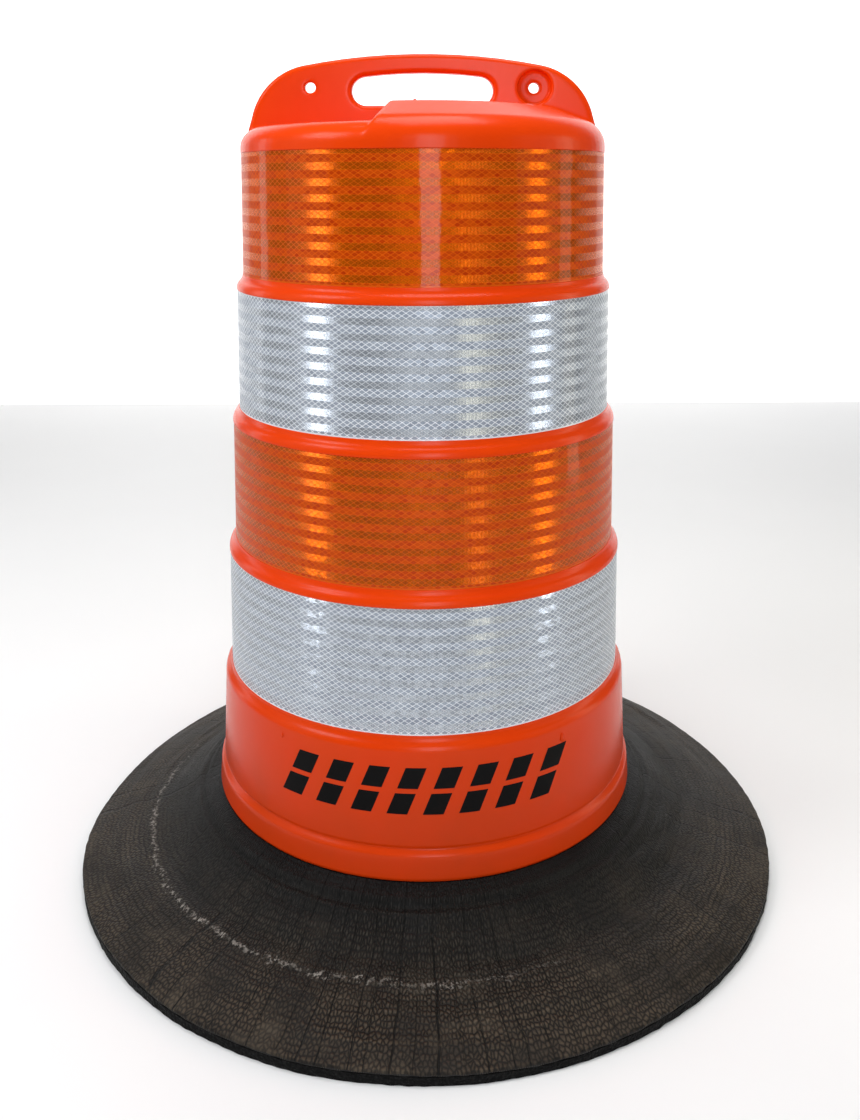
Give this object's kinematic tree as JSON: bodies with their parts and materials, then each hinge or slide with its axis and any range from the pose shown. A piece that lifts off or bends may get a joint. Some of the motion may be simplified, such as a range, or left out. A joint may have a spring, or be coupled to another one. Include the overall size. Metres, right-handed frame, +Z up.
{
  "type": "traffic barrel drum",
  "caption": "Stepped plastic channelizer drum with a handle fin and reflective bands, standing in a tyre-sidewall ballast ring that it lifts out of.",
  "frame": {"origin": "on the ground, on the drum's axis, at the centre of the ring", "axes": "+Z up along the drum's axis, +X along the handle fin, -Y towards the side with the marking"},
  "size_m": [0.94, 0.94, 1.0544],
  "materials": {
    "shell_plastic": "blow-moulded low-density polyethylene, satin",
    "sheeting_orange": "prismatic retroreflective film, clear gloss face",
    "sheeting_white": "prismatic retroreflective film, clear gloss face",
    "stencil_paint": "sprayed black stencil ink, matt",
    "liner_rubber": "butyl inner liner, dusty, leathery grain",
    "ply_rubber": "calendered rubber over cords",
    "sidewall_rubber": "knife-cut tyre rubber",
    "bead_wire": "bronze-plated steel wire bundle"
  },
  "bodies": {
    "ballast_ring": {"sidewall_rubber": "sidewall_rubber", "inner_liner": "liner_rubber", "body_ply": "ply_rubber", "bead_core": "bead_wire", "bead_filler": "ply_rubber", "bead_chafer": "sidewall_rubber"},
    "drum": {"drum_body": "shell_plastic", "sheeting_1_orange": "sheeting_orange", "sheeting_2_white": "sheeting_white", "sheeting_3_orange": "sheeting_orange", "sheeting_4_white": "sheeting_white", "stencil_marking": "stencil_paint"}
  },
  "joints": [
    {"name": "drum_lift", "type": "slide", "parent": "ballast_ring", "child": "drum", "axis": [0, 0, 1], "range_m": [0, 0.12]}
  ]
}
